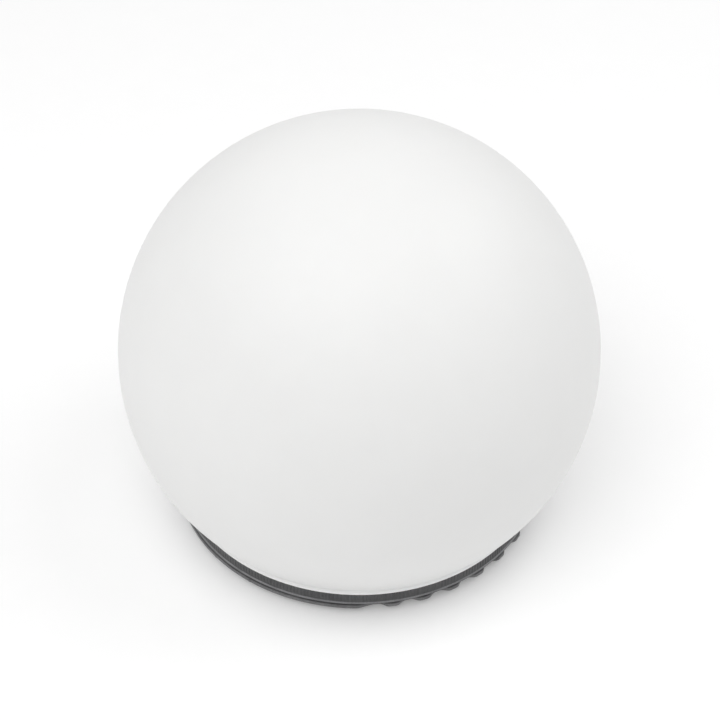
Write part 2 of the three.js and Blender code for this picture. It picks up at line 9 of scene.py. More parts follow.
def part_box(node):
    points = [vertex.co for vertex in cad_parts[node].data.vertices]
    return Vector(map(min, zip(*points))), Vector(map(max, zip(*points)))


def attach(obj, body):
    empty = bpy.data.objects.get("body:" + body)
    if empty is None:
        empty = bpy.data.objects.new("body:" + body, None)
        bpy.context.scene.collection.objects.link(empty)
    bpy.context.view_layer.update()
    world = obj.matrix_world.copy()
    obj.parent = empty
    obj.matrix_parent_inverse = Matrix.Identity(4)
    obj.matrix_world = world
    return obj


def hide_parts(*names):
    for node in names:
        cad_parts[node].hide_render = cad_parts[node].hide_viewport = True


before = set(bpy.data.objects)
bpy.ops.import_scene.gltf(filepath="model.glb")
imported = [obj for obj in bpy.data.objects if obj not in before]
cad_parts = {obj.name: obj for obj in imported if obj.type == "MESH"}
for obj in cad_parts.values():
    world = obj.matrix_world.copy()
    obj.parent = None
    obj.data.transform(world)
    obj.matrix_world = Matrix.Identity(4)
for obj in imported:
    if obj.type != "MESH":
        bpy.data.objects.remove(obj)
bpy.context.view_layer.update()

# A floating pool light: an opal globe on a graphite base that a screw cap closes from below, with three
# battery cells, a switch, a light board and a ballast ring inside. Outlines are in millimetres, and every
# finished mesh is in metres.

bl_info = {
    "name": "Floating pool light",
    "version": (1, 0, 0),
    "blender": (4, 5, 0),
    "location": "3D View > Sidebar > Pool Light",
    "description": "Models a floating globe light with its base, screw cap and insides",
    "category": "Add Mesh",
}

MM = 0.001
TURN = 2 * math.pi
THIRDS = [k * TURN / 3 for k in range(3)]
BETWEEN_THIRDS = [a + TURN / 6 for a in THIRDS]
CREASE = math.radians(40)  # an edge where the surface turns by more is shaded sharp
SAME_POINT = 1e-4  # points closer than this are one


def lowest(node, axis="z"):
    """The lowest coordinate of a CAD node, in millimetres."""
    return getattr(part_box(node)[0], axis) / MM


def highest(node, axis="z"):
    """The highest coordinate of a CAD node, in millimetres."""
    return getattr(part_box(node)[1], axis) / MM


# ---- driving dimensions in millimetres, from the frame where a node's box gives them ----

NECK_Z = lowest("globe")
NECK_R = highest("collar", "x")  # the globe's neck is flush with the collar's band
NECK_BORE_R = NECK_R - 2.2
NECK_LAND = 4.0
LIP_STEP = 0.35  # how far the lip round the neck stands out from the globe
LIP_HEIGHT = 0.95
LIP_ROUND = 0.15
GLOBE_TOP_Z = highest("globe")

BAND_Z = lowest("collar")
BAND_TOP_Z = NECK_Z - 0.3
BAND_WALL = 1.2
BAND_CHAMFER = 0.15
BAND_FLARE = 0.42  # how far the band's lower edge stands out from its upper edge
BAND_LEAN = 0.1  # how much of that the ribbed wall takes
BAND_BEAD = 0.6  # height of the bead along the lower edge
COLLAR_TOP_Z = highest("collar")
SPIGOT_R = NECK_R - 2.5
SNAP_BEAD_R = 58.2
SNAP_BEAD_Z = 14.0
SNAP_BEAD_HALF = 0.3
SNAP_BEAD_SLOPE = 0.8
COLLAR_BORE_R = NECK_R - 6.6
COUNTERBORE_R = COLLAR_BORE_R + 1
COUNTERBORE_TOP_Z = 6.8
LEDGE_R = 44.5
LEDGE_Z = 13.2
LEDGE_TOP_Z = 14.9
BOSS_R = 3.3
BOSS_Z = 6.0
BOSS_HOLE_R = 1.9
BOSS_HOLE_Z = 7.5
GASKET_Z = (lowest("globe_gasket") + highest("globe_gasket")) / 2
GASKET_R = highest("globe_gasket", "y") - 0.65
GASKET_THICKNESS = 1.4
GASKET_GROOVE = 1.7
GASKET_PLAY = 0.3
SEAL_Z = (lowest("cap_seal") + highest("cap_seal")) / 2
SEAL_R = 52.1
SEAL_THICKNESS = 2.6

FLANGE_R = highest("screw_cap", "y")
FLANGE_ROOT_R = FLANGE_R - 1.5
FLANGE_Z = 2.3
FLANGE_TOP_Z = 3.6
CONE_R = 55.4
CONE_FOOT_Z = 0.7
FOOT_OUTER_R = 45.0
FOOT_INNER_R = 39.5
FOOT_SLOPE = 1.5
CAP_UNDERSIDE_Z = 1.0
CAP_FLOOR_Z = 3.0
SKIRT_R = 50.5
SKIRT_BORE_R = 48.5
SKIRT_TOP_Z = highest("screw_cap")
HOLE_R = 6.6
HOLE_LIP = 0.4
RETAINER_WALL_R = 11.2
RETAINER_WALL_BORE_R = 9.6
RETAINER_WALL_TOP_Z = 6.5
TEETH_PER_ZONE = 8
PLAIN_ARC_FROM = math.radians(45)  # either side of the middle of a grip zone
PLAIN_ARC_FLANK = math.radians(4.8)
PLAIN_ARC_STEPS = 44
TOOTH_HALF_TIP = math.radians(1.5)
TOOTH_HALF_ROOT = math.radians(3.6)
TOOTH_ROUND = 0.7
TICK_AZIMUTHS = (math.radians(-94), math.radians(-79.5))
RAYS = 24
MARK_HALF_WIDTH = 0.35
FLOOR_RIBS = 6
FLOOR_RIB_HALF_WIDTH = 0.7

THREAD_ARC = math.pi / 2
THREAD_STEPS = 32
THREAD_HALF_ROOT = 0.8
THREAD_HALF_TIP = 0.48
COLLAR_THREAD_TIP_R = 50.9
COLLAR_THREAD_Z = 9.0
CAP_THREAD_TIP_R = 52.3
CAP_THREAD_Z = 8.4

BUTTON_R = highest("button", "x")
BUTTON_Z = lowest("button")
BUTTON_PAD_TOP_Z = 3.9
STEM_R = 2.4
STEM_TOP_Z = highest("button")
RIM_BORE_R = 7.4
RETAINER_BORE_R = 5.6

CLAMP_RADIUS = 42.0
COVER_SCREW_RADIUS = 33.5
BOARD_SCREW_RADIUS = 20.0
SCREW_PITCH = 0.5
BAY_RADIUS = 22.0
CELL_R = 5.25
CELL_NUB = 0.8
CELL_LAP = 1.3  # how far the film laps the cell's ends
CELL_BAND = 9.0


def linear(code):
    """An sRGB hex colour as linear red, green and blue."""
    shades = [int(code[i:i + 2], 16) / 255 for i in (1, 3, 5)]
    return [s / 12.92 if s <= 0.04045 else ((s + 0.055) / 1.055) ** 2.4 for s in shades]


def colour(name, description, code):
    """A colour that a user can change."""
    return FloatVectorProperty(
        name=name, description=description, subtype="COLOR", size=3, min=0, max=1, default=linear(code)
    )


def length(name, description, millimetres):
    """A length that a user can change."""
    return FloatProperty(
        name=name, description=description, default=millimetres * MM, min=0, precision=5,
        subtype="DISTANCE", unit="LENGTH",
    )


class PoolLightSizes(bpy.types.PropertyGroup):
    globe_radius: length("Globe radius", "Outside radius of the globe", 75)
    globe_wall: length("Globe wall", "Thickness of the globe's wall", 2)
    rib_pitch: length("Rib pitch", "Distance between the fine ribs on the collar's band", 1.15)
    rib_depth: length("Rib depth", "Depth of the grooves between the fine ribs", 0.28)
    edge_radius: length("Edge radius", "Rounding of the base's moulded edges", 0.25)
    thread_lead: length("Thread lead", "How far the cap moves in one turn", 12)
    tooth_pitch: FloatProperty(
        name="Tooth pitch", description="Angle between two grip teeth of the cap",
        default=math.radians(9.8), subtype="ANGLE", unit="ROTATION",
    )
    globe_steps: IntProperty(
        name="Globe steps", description="Facets round the globe", default=160, min=24, max=512
    )


class PoolLightFinishes(bpy.types.PropertyGroup):
    globe: colour("Globe", "Opal polyethylene of the globe", "#e9e9e8")
    # a brighter white than the globe's, which paints the highlight along the lip round the neck
    lip: colour("Lip", "Whiter polyethylene that paints a highlight on the globe's lower edge", "#f8f8f7")
    collar: colour("Collar", "Graphite ABS of the collar", "#414142")
    cap: colour("Cap", "Graphite ABS of the screw cap", "#5f5f60")
    # a lighter grey that paints the highlight along the band's lower edge
    highlight_edge: colour("Highlight edge", "Lighter graphite ABS that paints the highlight on the band's lower edge", "#79797b")
    rubber: colour("Rubber", "Silicone of the button and the seals", "#1d1d1e")
    inner: colour("Inner plastic", "Polypropylene of the deck", "#2b2c2f")
    film: colour("Cell film", "Shrink film round the battery cells", "#33414d")
    film_band: colour("Cell band", "Band at the plus end of the battery cells", "#b98a3c")
    floor: colour("Floor", "Pale studio floor", "#e6e6e6")


def sizes():
    """The sizes that the scene holds, in metres and radians."""
    return bpy.context.scene.pool_light_sizes


def finishes():
    """The colours that the scene holds, in linear light."""
    return bpy.context.scene.pool_light_finishes


# ---- making meshes ----


def arc(radius, centre_z, start, stop, steps):
    """Points of an arc about a point on the axis, by their angle above the horizontal."""
    angles = [start + (stop - start) * i / steps for i in range(steps + 1)]
    return [(abs(radius * math.cos(a)), centre_z + radius * math.sin(a)) for a in angles]


def turned(outline, steps):
    """An outline of (radius, height) turned right round Z. It is closed, unless it starts on the axis."""
    bm = bmesh.new()
    corners = [bm.verts.new((r, 0, z)) for r, z in outline]
    starts_on_axis = outline[0][0] < SAME_POINT
    ends = zip(corners, corners[1:] if starts_on_axis else corners[1:] + corners[:1])
    edges = [bm.edges.new(pair) for pair in ends]
    bmesh.ops.spin(
        bm, geom=corners + edges, cent=(0, 0, 0), axis=(0, 0, 1), angle=TURN, steps=steps, use_merge=True
    )
    bmesh.ops.remove_doubles(bm, verts=bm.verts, dist=SAME_POINT)
    bmesh.ops.recalc_face_normals(bm, faces=bm.faces)
    return bm


def ring(inner, outer, low, high):
    """A flat ring with a rectangular section."""
    return turned([(inner, low), (outer, low), (outer, high), (inner, high)], 64)


def rubber_ring(radius, thickness, z):
    """A round rubber ring with a round section."""
    r = thickness / 2
    angles = [k * TURN / 16 for k in range(16)]
    return turned([(radius + r * math.cos(a), z + r * math.sin(a)) for a in angles], 144)


def block(low, high):
    """A box from its lowest to its highest corner."""
    low, high = Vector(low), Vector(high)
    bm = bmesh.new()
    size = Matrix.Diagonal((*(high - low), 1))
    bmesh.ops.create_cube(bm, size=1, matrix=Matrix.Translation((low + high) / 2) @ size)
    return bm


def rounded(bm, width, segments=2, steeper_than=math.radians(28)):
    """Rounds every edge where the surface turns by more than an angle."""
    sharp = [e for e in bm.edges if len(e.link_faces) == 2 and e.calc_face_angle() > steeper_than]
    bmesh.ops.bevel(
        bm, geom=sharp, offset=width, affect="EDGES", segments=segments, profile=0.5, material=-1,
        clamp_overlap=True,
    )
    return bm


def moved(bm, matrix):
    """Transforms a mesh by a matrix."""
    bmesh.ops.transform(bm, matrix=matrix, verts=bm.verts)
    return bm


def shifted(bm, x=0, y=0, z=0):
    """Moves a mesh along X, Y and Z."""
    return moved(bm, Matrix.Translation((x, y, z)))


def swung(bm, azimuth):
    """Turns a mesh about Z."""
    return moved(bm, Matrix.Rotation(azimuth, 4, "Z"))


def joined(*parts):
    """One mesh that holds several, each still its own closed shell."""
    whole = bmesh.new()
    for part in parts:
        mesh = bpy.data.meshes.new("part")
        part.to_mesh(mesh)
        part.free()
        whole.from_mesh(mesh)
        bpy.data.meshes.remove(mesh)
    return whole


def thread_ridge(root_r, tip_r, azimuth, z):
    """One ridge of the three-start screw thread: its section spun a quarter turn while it climbs."""
    bm = bmesh.new()
    section = [
        (root_r, -THREAD_HALF_ROOT), (tip_r, -THREAD_HALF_TIP), (tip_r, THREAD_HALF_TIP),
        (root_r, THREAD_HALF_ROOT),
    ]
    corners = [bm.verts.new((r, 0, h)) for r, h in section]
    edges = [bm.edges.new(pair) for pair in zip(corners, corners[1:] + corners[:1])]
    climb = sizes().thread_lead / MM * THREAD_ARC / TURN / THREAD_STEPS
    bmesh.ops.spin(
        bm, geom=corners + edges, cent=(0, 0, 0), axis=(0, 0, 1), angle=THREAD_ARC, steps=THREAD_STEPS,
        dvec=(0, 0, climb),
    )
    bmesh.ops.holes_fill(bm, edges=[e for e in bm.edges if e.is_boundary], sides=4)
    bmesh.ops.recalc_face_normals(bm, faces=bm.faces)
    rounded(bm, 0.2)
    return shifted(swung(bm, azimuth), z=z)


def paint(bm, index, test=lambda middle: True):
    """Gives the faces whose middle passes a test a material slot of the piece."""
    for face in bm.faces:
        if test(face.calc_center_median()):
            face.material_index = index
    return bm


def finished(name, bm, body, slot, materials, *nodes):
    """Makes a bmesh in millimetres a smooth-shaded object in metres that rides on a body and stands for one
    or more CAD nodes."""
    bmesh.ops.scale(bm, vec=(MM, MM, MM), verts=bm.verts)
    for face in bm.faces:
        face.smooth = True
    mesh = bpy.data.meshes.new(name)
    bm.to_mesh(mesh)
    bm.free()
    mesh.set_sharp_from_angle(angle=CREASE)
    for material in materials:
        mesh.materials.append(material)
    piece = bpy.data.objects.new(name, mesh)
    bpy.context.scene.collection.objects.link(piece)
    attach(piece, body)
    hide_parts(*nodes)


# ---- making materials ----


def add(tree, kind, settings=None, inputs=None):
    """Adds a shader node with its settings, and with a value or a link for each input named."""
    made = tree.nodes.new("ShaderNode" + kind)
    for name, value in (settings or {}).items():
        setattr(made, name, value)
    for key, value in (inputs or {}).items():
        if isinstance(value, bpy.types.NodeSocket):
            tree.links.new(value, made.inputs[key])
        else:
            made.inputs[key].default_value = value
    return made


def surface(name, inputs):
    """A material with one Principled shader, and its object coordinates in millimetres."""
    found = bpy.data.materials.get(name)
    if found:
        return found, None, None, None
    material = bpy.data.materials.new(name)
    material.use_nodes = True
    tree = material.node_tree
    tree.nodes.clear()
    shader = add(tree, "BsdfPrincipled", inputs=inputs)
    add(tree, "OutputMaterial", inputs={"Surface": shader.outputs[0]})
    place = add(tree, "TexCoord")
    scaled = add(
        tree, "VectorMath", {"operation": "SCALE"}, {0: place.outputs["Object"], "Scale": 1 / MM}
    )
    return material, tree, shader, scaled.outputs[0]


def noise(tree, where, size, detail=2.0):
    """Noise whose grains are about a size in millimetres."""
    made = add(tree, "TexNoise", inputs={"Vector": where, "Scale": 1 / size, "Detail": detail})
    return made.outputs["Fac"]


def span(tree, value, low, high):
    """Noise, which keeps mostly between 0.3 and 0.7, stretched to run from low to high."""
    return add(tree, "MapRange", inputs={"Value": value, 1: 0.3, 2: 0.7, 3: low, 4: high}).outputs[0]


def shaded(tree, shader, shade, light, dark):
    """Mixes the base colour between two colours."""
    mix = add(tree, "Mix", {"data_type": "RGBA"}, {0: shade, 6: (*dark, 1), 7: (*light, 1)})
    tree.links.new(mix.outputs[2], shader.inputs["Base Color"])


def raised(tree, shader, height, depth):
    """Bump of a depth in millimetres."""
    bump = add(tree, "Bump", inputs={"Height": height, "Distance": depth * MM, "Strength": 1.0})
    tree.links.new(bump.outputs[0], shader.inputs["Normal"])


def tinted(rgb, factor):
    """A colour made lighter or darker."""
    return [min(1.0, c * factor) for c in rgb]


def moulded(name, rgb, roughness, ior, grain, depth, contrast=0.12, cloud=14, extra=None):
    """A moulded plastic: slight clouding of colour and gloss, and the grain of the mould's surface. The
    clouds, the grain and the grain's depth are in millimetres."""
    inputs = {"Metallic": 0.0, "IOR": ior, **(extra or {})}
    material, tree, shader, where = surface(name, inputs)
    if tree is None:
        return material
    clouds = noise(tree, where, cloud, 3)
    shaded(tree, shader, span(tree, clouds, 0, 1), tinted(rgb, 1 + contrast), tinted(rgb, 1 - contrast))
    fine = noise(tree, where, grain, 2)
    rough = span(tree, fine, roughness - 0.06, roughness + 0.06)
    tree.links.new(rough, shader.inputs["Roughness"])
    raised(tree, shader, fine, depth)
    return material


# How light scatters inside polyethylene.
MILKY = {"Subsurface Weight": 0.35, "Subsurface Radius": (1.0, 1.0, 0.95), "Subsurface Scale": 3 * MM}


def opal_polyethylene():
    """Rotomoulded polyethylene, milky all the way through: light sinks in and comes out soft, so it shows no
    sharp highlight, only a broad sheen broken by the blasted mould's fine grain."""
    return moulded(
        "opal polyethylene", finishes().globe, roughness=0.52, ior=1.51, grain=0.9, depth=0.006,
        contrast=0.006, extra={**MILKY, "Specular IOR Level": 0.35},
    )


def lip_highlight_polyethylene():
    """The same polyethylene with a smoother skin and a little more gloss, in a brighter white that paints the
    highlight along the lip round the neck."""
    return moulded(
        "polyethylene lip highlight", finishes().lip, roughness=0.4, ior=1.51, grain=0.9, depth=0.003,
        contrast=0.006, extra=MILKY,
    )


def graphite_abs(name, rgb):
    """ABS coloured through in graphite grey, moulded in a spark-eroded tool: a satin skin with a fine grain.
    Its colour is clouded over 9 mm and streaked upright in bands about 1.5 mm wide, a random tone made strong
    enough that it also paints the band's streaky sheen."""
    material, tree, shader, where = surface(name, {"Metallic": 0.0, "IOR": 1.53})
    if tree is None:
        return material
    # random tone, strong enough that it paints the band's streaky sheen as well
    clouds = span(tree, noise(tree, where, 9, 2), 0, 1)
    upright = add(tree, "Mapping", inputs={"Vector": where, "Scale": (1, 1, 0.12)}).outputs[0]
    streaks = span(tree, noise(tree, upright, 1.5, 1), 0, 1)
    mostly = add(tree, "Math", {"operation": "MULTIPLY"}, {0: clouds, 1: 0.6}).outputs[0]
    shade = add(tree, "Math", {"operation": "MULTIPLY_ADD"}, {0: streaks, 1: 0.4, 2: mostly}).outputs[0]
    shaded(tree, shader, shade, tinted(rgb, 1.4), tinted(rgb, 0.68))
    fine = noise(tree, where, 0.35, 2)
    tree.links.new(span(tree, fine, 0.36, 0.48), shader.inputs["Roughness"])
    raised(tree, shader, fine, 0.02)
    return material


def highlight_abs():
    """Lighter, glossier graphite ABS on the band's lower bead: its lighter grey is a painted highlight."""
    return moulded(
        "graphite ABS highlight", finishes().highlight_edge, roughness=0.3, ior=1.53, grain=0.35, depth=0.008,
        contrast=0.2, cloud=5,
    )


def collar_abs():
    """Graphite ABS of the collar, a darker grey than the cap's."""
    return graphite_abs("graphite ABS collar", finishes().collar)


def cap_abs():
    """Graphite ABS of the screw cap, a lighter grey than the collar's."""
    return graphite_abs("graphite ABS cap", finishes().cap)


def black_polypropylene():
    """Polypropylene with a fine matt grain, as on hidden structural mouldings."""
    return moulded("black polypropylene", finishes().inner, roughness=0.55, ior=1.49, grain=0.4, depth=0.02)


def silicone_rubber():
    """Compression-moulded silicone: nearly black, soft sheen, and a faint bloom of dust that lightens it."""
    return moulded(
        "silicone rubber", finishes().rubber, roughness=0.62, ior=1.41, grain=0.5, depth=0.012,
        contrast=0.2, extra={"Sheen Weight": 0.15, "Sheen Roughness": 0.5},
    )


def epoxy_resin():
    """Black moulding epoxy of electronic packages: matt, with a faint glitter of its glass filler."""
    return moulded(
        "moulding epoxy", linear("#1e1e20"), roughness=0.6, ior=1.55, grain=0.15, depth=0.006, contrast=0.15
    )


def white_acetal():
    """Acetal: a dense white engineering plastic with a slight waxy gloss, turned or moulded smooth."""
    return moulded(
        "acetal", linear("#e9e9e4"), roughness=0.35, ior=1.48, grain=0.6, depth=0.003, contrast=0.01
    )


def white_resin():
    """Titanium-white filled nylon of an LED package, very bright and matt."""
    return moulded(
        "white nylon", linear("#f1f0ea"), roughness=0.5, ior=1.53, grain=0.2, depth=0.004, contrast=0.01
    )


def phosphor_silicone():
    """Yellow phosphor stirred into clear silicone: egg-yolk yellow under a glossy wet-looking surface."""
    return moulded(
        "phosphor silicone", linear("#f2cf52"), roughness=0.25, ior=1.41, grain=0.25, depth=0.004,
        contrast=0.06,
        extra={"Subsurface Weight": 0.3, "Subsurface Scale": 0.5 * MM, "Coat Weight": 0.6},
    )


def clear_polycarbonate():
    """Clear polycarbonate: colourless and glossy, with a faint ripple from the moulding."""
    inputs = {"Metallic": 0.0, "IOR": 1.585, "Roughness": 0.06, "Transmission Weight": 1.0}
    material, tree, shader, where = surface("clear polycarbonate", inputs)
    if tree is None:
        return material
    shaded(tree, shader, noise(tree, where, 20), linear("#f7fbfb"), linear("#eef5f5"))
    raised(tree, shader, noise(tree, where, 6), 0.02)
    return material


def insulated(name, code):
    """PVC insulation: saturated colour, smooth and slightly glossy, with faint drawing marks."""
    return moulded(name, linear(code), roughness=0.38, ior=1.54, grain=0.7, depth=0.004, contrast=0.08)


def shrink_film(name, rgb):
    """Heat-shrunk PVC film round a cell: glossy, pulled tight, with tiny ripples from the shrinking."""
    return moulded(
        name, rgb, roughness=0.24, ior=1.54, grain=1.6, depth=0.01, contrast=0.05,
        extra={"Coat Weight": 0.4, "Coat Roughness": 0.12},
    )


def plated(name, code, roughness, grain, depth, spangle):
    """A thin plating over steel: the metal's own colour, clouded a little where it is thinner."""
    material, tree, shader, where = surface(name, {"Metallic": 1.0})
    if tree is None:
        return material
    rgb = linear(code)
    clouds = noise(tree, where, spangle, 3)
    shaded(tree, shader, span(tree, clouds, 0, 1), tinted(rgb, 1.12), tinted(rgb, 0.82))
    fine = noise(tree, where, grain, 3)
    tree.links.new(span(tree, fine, roughness - 0.07, roughness + 0.1), shader.inputs["Roughness"])
    raised(tree, shader, fine, depth)
    return material


def zinc_plated_steel():
    """Bright zinc over steel: cool grey with a faint milky bloom, as on screws and pressed rings."""
    return plated("zinc-plated steel", "#b4b9bf", roughness=0.34, grain=0.3, depth=0.006, spangle=5)


def nickel_plated_steel():
    """Nickel over spring steel: slightly warm, bright and smooth."""
    return plated("nickel-plated steel", "#cfc9bb", roughness=0.22, grain=0.4, depth=0.003, spangle=4)


def solder_mask():
    """White solder mask on glass-epoxy board: smooth lacquer that shows the copper tracks below as slightly
    raised, greyer lines. The tracks are 1 mm wide on a 3 mm grid."""
    inputs = {"Metallic": 0.0, "IOR": 1.52, "Roughness": 0.38}
    material, tree, shader, where = surface("white solder mask", inputs)
    if tree is None:
        return material
    tracks = add(
        tree, "TexBrick", {"offset": 0.5},
        {"Vector": where, "Color1": (1, 1, 1, 1), "Color2": (1, 1, 1, 1), "Mortar": (0, 0, 0, 1),
         "Scale": 1.0, "Mortar Size": 0.25, "Mortar Smooth": 0.3, "Brick Width": 5.0, "Row Height": 3.0},
    ).outputs["Color"]
    shaded(tree, shader, tracks, linear("#eceee8"), linear("#cfd4cb"))
    flipped = add(tree, "Math", {"operation": "SUBTRACT"}, {0: 1.0, 1: tracks}).outputs[0]
    raised(tree, shader, flipped, 0.04)
    return material


def studio_floor():
    """Opal acrylic of a photographer's table, lit a little from below: matt, near white, and it keeps the
    shadow under the object light."""
    return moulded(
        "opal acrylic", finishes().floor, roughness=0.9, ior=1.49, grain=4, depth=0.01, contrast=0.004,
        extra={"Emission Color": (1, 1, 1, 1), "Emission Strength": 0.18},
    )


# ---- the pieces ----


def make_globe():
    """The globe: an even wall from the crown down to a small lip that stands out round the neck, whose bore
    has a plain land for the gasket."""
    radius = sizes().globe_radius / MM
    inner = radius - sizes().globe_wall / MM
    centre = GLOBE_TOP_Z - radius
    crease_r = NECK_R - LIP_STEP
    neck_angle = -math.acos(crease_r / radius)
    crease_z = centre + radius * math.sin(neck_angle)
    lip_z = NECK_Z + LIP_HEIGHT
    land_top = NECK_Z + NECK_LAND
    inner_angle = math.asin((land_top - centre) / inner)
    outline = [
        *arc(radius, centre, math.pi / 2, neck_angle, 64),
        (crease_r, crease_z - 0.08),
        (NECK_R - 0.1, lip_z),
        (NECK_R, lip_z - LIP_ROUND),
        (NECK_R, NECK_Z + LIP_ROUND),
        (NECK_R - 0.12, NECK_Z),
        (NECK_BORE_R + LIP_ROUND, NECK_Z),
        (NECK_BORE_R, NECK_Z + LIP_ROUND),
        (NECK_BORE_R, land_top),
        *arc(inner, centre, inner_angle, math.pi / 2, 40),
    ]
    bm = turned(outline, sizes().globe_steps)
    # the lip's faces take the whiter second material: a painted highlight round the neck
    paint(bm, 1, lambda middle: middle.z < crease_z and middle.xy.length > NECK_BORE_R + 0.5)
    materials = [opal_polyethylene(), lip_highlight_polyethylene()]
    finished("globe_shell", bm, "housing", "milk_white", materials, "globe")


def ribbed_band():
    """The collar's outer band: upright ribs between V grooves, on a wall that leans out to a bead along its
    sharp lower edge; the bead's lighter material paints a highlight."""
    columns = 3 * round(TURN * NECK_R / (sizes().rib_pitch / MM))
    groove = sizes().rib_depth / MM
    top_r = NECK_R - BAND_FLARE
    top_z = BAND_TOP_Z - BAND_CHAMFER
    bead_z = BAND_Z + BAND_BEAD
    rows = 5
    wall = []
    for i in range(rows + 1):
        down = i / rows
        wall.append((top_r + BAND_LEAN * down * down, top_z + (bead_z - top_z) * down))
    outline = [
        (NECK_R - BAND_WALL, BAND_TOP_Z),
        (top_r - BAND_CHAMFER, BAND_TOP_Z),
        *wall,
        (NECK_R - 0.03, BAND_Z + 0.22),
        (NECK_R, BAND_Z + 0.16),
        (NECK_R, BAND_Z + 0.03),
        (NECK_R - 0.03, BAND_Z),
        (NECK_R - BAND_WALL, BAND_Z),
    ]
    bm = turned(outline, columns)
    for vert in bm.verts:
        column = round(math.atan2(vert.co.y, vert.co.x) / (TURN / columns))
        on_wall = bead_z + 0.1 < vert.co.z < BAND_TOP_Z - 0.1 and vert.co.xy.length > top_r - 0.1
        if on_wall and column % 3 == 0:
            vert.co.xy *= 1 - groove / top_r
    # the bead's faces take the lighter second material: a painted highlight along the lower edge
    edge = BAND_Z + 0.1
    return paint(bm, 1, lambda middle: edge < middle.z < bead_z and middle.xy.length > top_r)


def collar_body():
    """The collar behind its band: spigot with a gasket groove and snap bead, deck ledge and bore."""
    groove_r = SPIGOT_R - GASKET_GROOVE
    groove_half = GASKET_THICKNESS / 2 + GASKET_PLAY
    band_r = NECK_R - BAND_WALL / 2
    shoulder_z = BAND_TOP_Z - 0.04
    outline = [
        (COUNTERBORE_R, BAND_Z),
        (band_r, BAND_Z + 0.04),
        (band_r, shoulder_z),
        (SPIGOT_R, shoulder_z),
        (SPIGOT_R, GASKET_Z - groove_half),
        (groove_r, GASKET_Z - groove_half),
        (groove_r, GASKET_Z + groove_half),
        (SPIGOT_R, GASKET_Z + groove_half),
        (SPIGOT_R, SNAP_BEAD_Z - SNAP_BEAD_HALF - SNAP_BEAD_SLOPE),
        (SNAP_BEAD_R, SNAP_BEAD_Z - SNAP_BEAD_HALF),
        (SNAP_BEAD_R, SNAP_BEAD_Z + SNAP_BEAD_HALF),
        (SPIGOT_R - 0.5, COLLAR_TOP_Z),
        (COLLAR_BORE_R, COLLAR_TOP_Z),
        (COLLAR_BORE_R, LEDGE_TOP_Z),
        (LEDGE_R, LEDGE_TOP_Z),
        (LEDGE_R, LEDGE_Z),
        (COLLAR_BORE_R, LEDGE_Z),
        (COLLAR_BORE_R, COUNTERBORE_TOP_Z),
        (COUNTERBORE_R, COUNTERBORE_TOP_Z),
    ]
    return rounded(turned(outline, 144), 0.2)


def make_collar():
    """The collar: ribbed band, body, three thread ridges and three screw bosses."""
    ridges = [thread_ridge(COLLAR_BORE_R + 0.3, COLLAR_THREAD_TIP_R, a, COLLAR_THREAD_Z) for a in THIRDS]
    outline = [
        (0, BOSS_Z), (BOSS_R, BOSS_Z), (BOSS_R, LEDGE_TOP_Z), (BOSS_HOLE_R, LEDGE_TOP_Z),
        (BOSS_HOLE_R, BOSS_HOLE_Z), (0, BOSS_HOLE_Z),
    ]
    bosses = [swung(shifted(rounded(turned(outline, 24), 0.25), CLAMP_RADIUS), a) for a in THIRDS]
    bm = joined(ribbed_band(), collar_body(), *ridges, *bosses)
    finished("collar_moulding", bm, "housing", "dark_grey", [collar_abs(), highlight_abs()], "collar")


def flange_outline():
    """The flange's edge as (radius, azimuth): a zone of grip teeth on +X and -X, and plain arcs between."""
    pitch = sizes().tooth_pitch
    points = []
    for middle in (0, math.pi):
        points.append((FLANGE_ROOT_R, middle - PLAIN_ARC_FROM + PLAIN_ARC_FLANK))
        for k in range(TEETH_PER_ZONE):
            at = middle + (k - (TEETH_PER_ZONE - 1) / 2) * pitch
            points += [
                (FLANGE_ROOT_R, at - TOOTH_HALF_ROOT), (FLANGE_R, at - TOOTH_HALF_TIP),
                (FLANGE_R, at + TOOTH_HALF_TIP), (FLANGE_ROOT_R, at + TOOTH_HALF_ROOT),
            ]
        points.append((FLANGE_ROOT_R, middle + PLAIN_ARC_FROM - PLAIN_ARC_FLANK))
        step = (math.pi - 2 * PLAIN_ARC_FROM) / PLAIN_ARC_STEPS
        points += [(FLANGE_R, middle + PLAIN_ARC_FROM + step * i) for i in range(PLAIN_ARC_STEPS + 1)]
    return points


def grip_flange():
    """The flange: its outline drawn in to the skirt, raised to its thickness, with rounded teeth and rims."""
    bm = bmesh.new()
    corners = [
        bm.verts.new((r * math.cos(a), r * math.sin(a), FLANGE_Z)) for r, a in flange_outline()
    ]
    edges = [bm.edges.new(pair) for pair in zip(corners, corners[1:] + corners[:1])]
    inside = bmesh.ops.extrude_edge_only(bm, edges=edges)["geom"]
    for vert in (v for v in inside if isinstance(v, bmesh.types.BMVert)):
        vert.co.xy = vert.co.xy.normalized() * SKIRT_R
    top = bmesh.ops.extrude_face_region(bm, geom=list(bm.faces), use_keep_orig=True)["geom"]
    lifted = [v for v in top if isinstance(v, bmesh.types.BMVert)]
    bmesh.ops.translate(bm, verts=lifted, vec=(0, 0, FLANGE_TOP_Z - FLANGE_Z))
    bmesh.ops.recalc_face_normals(bm, faces=bm.faces)

    def outer(edge):
        return min(v.co.xy.length for v in edge.verts) > FLANGE_ROOT_R - 0.5

    def upright(edge):
        return abs(edge.verts[0].co.z - edge.verts[1].co.z) > 1

    def bevel(chosen, width, segments):
        bmesh.ops.bevel(
            bm, geom=chosen, offset=width, affect="EDGES", segments=segments, profile=0.5, material=-1,
            clamp_overlap=True,
        )

    corner_turn, rim_turn = 0.3, 1.2  # radians by which the surface turns at a tooth's corner, at a rim
    teeth = [e for e in bm.edges if outer(e) and upright(e) and e.calc_face_angle() > corner_turn]
    bevel(teeth, TOOTH_ROUND, 4)
    rims = [e for e in bm.edges if outer(e) and not upright(e) and e.calc_face_angle() > rim_turn]
    bevel(rims, sizes().edge_radius / MM, 3)
    return bm


